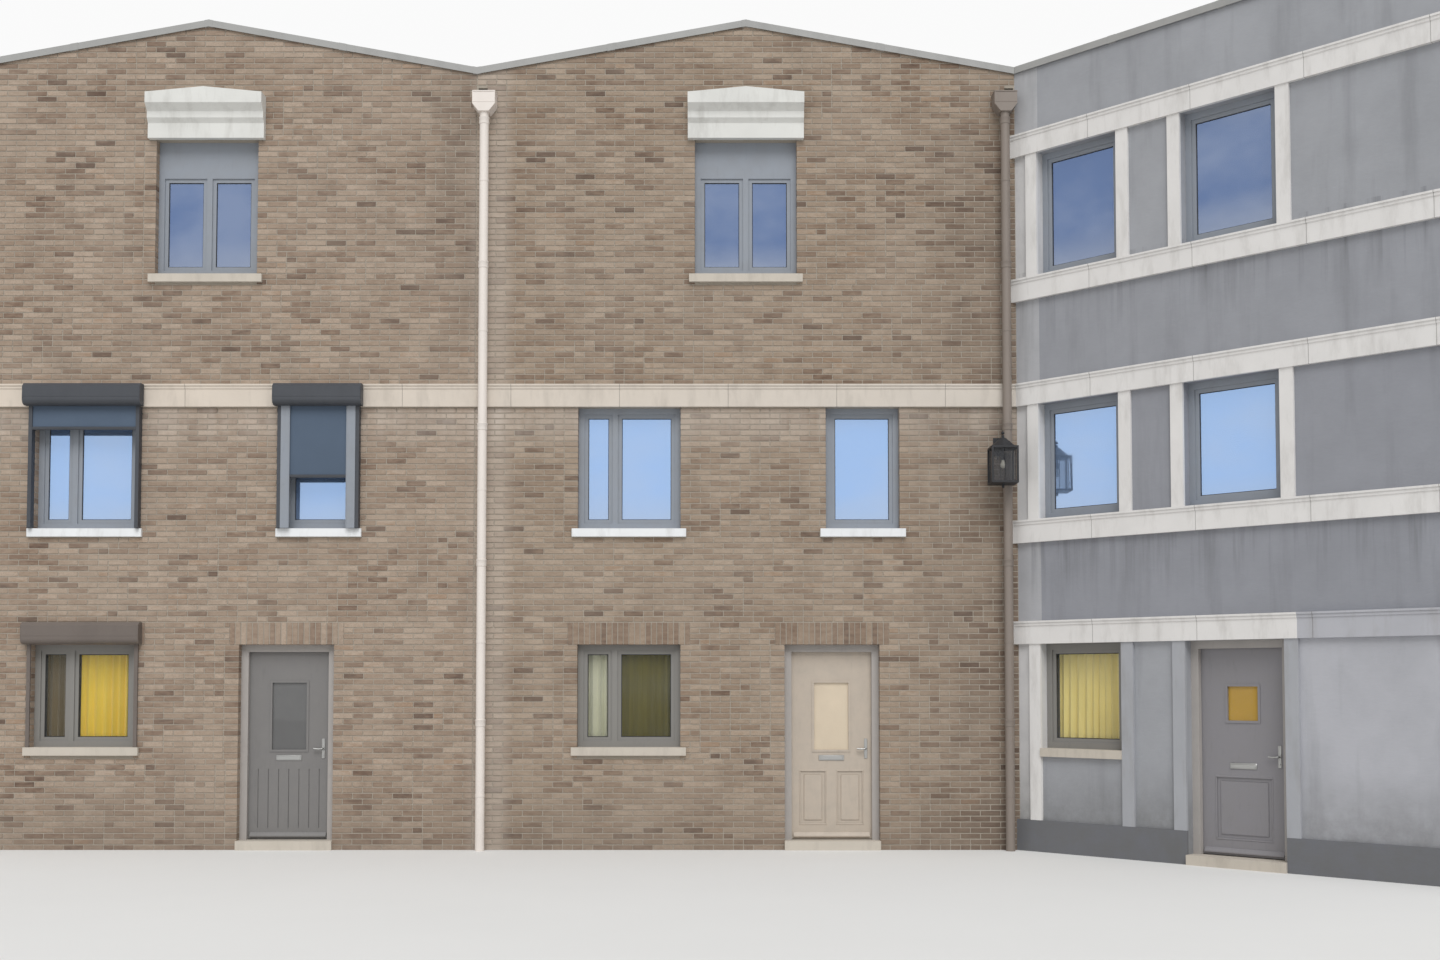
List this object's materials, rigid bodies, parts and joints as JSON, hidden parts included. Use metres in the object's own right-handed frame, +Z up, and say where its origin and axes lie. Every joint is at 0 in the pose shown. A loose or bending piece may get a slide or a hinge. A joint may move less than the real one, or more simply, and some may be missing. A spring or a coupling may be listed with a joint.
{
  "type": "terraced house row",
  "caption": "Row of narrow three-storey town houses: brown brick with low gables, ending in a grey rendered house turned towards the street.",
  "frame": {"origin": "on the ground at the brick front face, on the line between the two brick houses", "axes": "+X along the brick fronts towards the turned house, +Y from the street into the houses, +Z up"},
  "size_m": [21.2136, 11.6315, 9.23],
  "materials": {
    "floors": "concrete, plain",
    "party_brick": "plain brickwork",
    "brick_1": "brown brickwork with pale joints",
    "brick_2": "brown brickwork with pale joints",
    "render": "grey painted render",
    "roofing": "bitumen roofing, matt",
    "coping_metal": "satin grey",
    "rainwater_metal": "satin pale grey",
    "pale_stone": "painted pale stone",
    "sill_stone": "honed pale stone",
    "plinth": "dark painted render",
    "frame_paint": "satin grey",
    "window_glass": "clear",
    "screen_metal": "satin dark grey",
    "screen_fabric": "dark woven sun-screen cloth, held taut between rails",
    "lantern_metal": "satin black",
    "lantern_glass": "smoked",
    "door_frame_paint": "painted pale grey",
    "ironmongery": "satin",
    "door_paint_1": "painted grey, satin",
    "door_paint_2": "painted cream, satin",
    "door_paint_3": "painted taupe, satin",
    "frosted_glass": "frosted",
    "amber_glass": "amber"
  },
  "bodies": {
    "houses": {"ground_floors": "floors", "upper_floors": "floors", "party_walls": "party_brick", "front_wall_1_left": "brick_1", "front_wall_1_right": "brick_1", "front_wall_1_upper": "brick_1", "rear_wall_1": "brick_1", "front_wall_2_left": "brick_2", "front_wall_2_right": "brick_2", "front_wall_2_upper": "brick_2", "rear_wall_2": "brick_2", "front_wall_3_left": "render", "front_wall_3_right": "render", "front_wall_3_upper": "render", "rear_wall_3_straight": "render", "rear_wall_3_turned": "render", "gable_roofs": "roofing", "flat_roof": "roofing", "gable_copings": "coping_metal", "parapet_coping": "coping_metal", "roof_gutters": "rainwater_metal", "downpipes": "rainwater_metal", "string_course": "pale_stone", "turned_bands": "pale_stone", "window_surrounds": "pale_stone", "window_hoods": "pale_stone", "window_sills": "sill_stone", "thresholds": "sill_stone", "turned_plinth": "plinth", "front_frames_1": "frame_paint", "front_frames_2": "frame_paint", "front_frames_3": "frame_paint", "rear_frames": "frame_paint", "front_glass": "window_glass", "rear_glass": "window_glass", "screen_cassettes": "screen_metal", "screen_rails": "screen_metal", "lowered_screens": "screen_fabric", "wall_lantern": "lantern_metal", "lantern_glass": "lantern_glass", "door_jambs": "door_frame_paint", "door_heads": "door_frame_paint", "door_hinges": "ironmongery"},
    "door_1": {"front_door_1": "door_paint_1", "door_furniture_1": "ironmongery", "door_pane_1": "frosted_glass"},
    "door_2": {"front_door_2": "door_paint_2", "door_furniture_2": "ironmongery", "door_pane_2": "frosted_glass"},
    "door_3": {"front_door_3": "door_paint_3", "door_furniture_3": "ironmongery", "door_pane_3": "amber_glass"}
  },
  "joints": [
    {"name": "door_1_hinge", "type": "hinge", "parent": "houses", "child": "door_1", "pos_m": [-2.509, 0.223, 1.1], "axis": [0, 0, 1], "range_deg": [0, 90]},
    {"name": "door_2_hinge", "type": "hinge", "parent": "houses", "child": "door_2", "pos_m": [3.491, 0.223, 1.1], "axis": [0, 0, 1], "range_deg": [0, 90]},
    {"name": "door_3_hinge", "type": "hinge", "parent": "houses", "child": "door_3", "pos_m": [7.63271, -1.31734, 1.1], "axis": [0, 0, 1], "range_deg": [0, 90]}
  ]
}
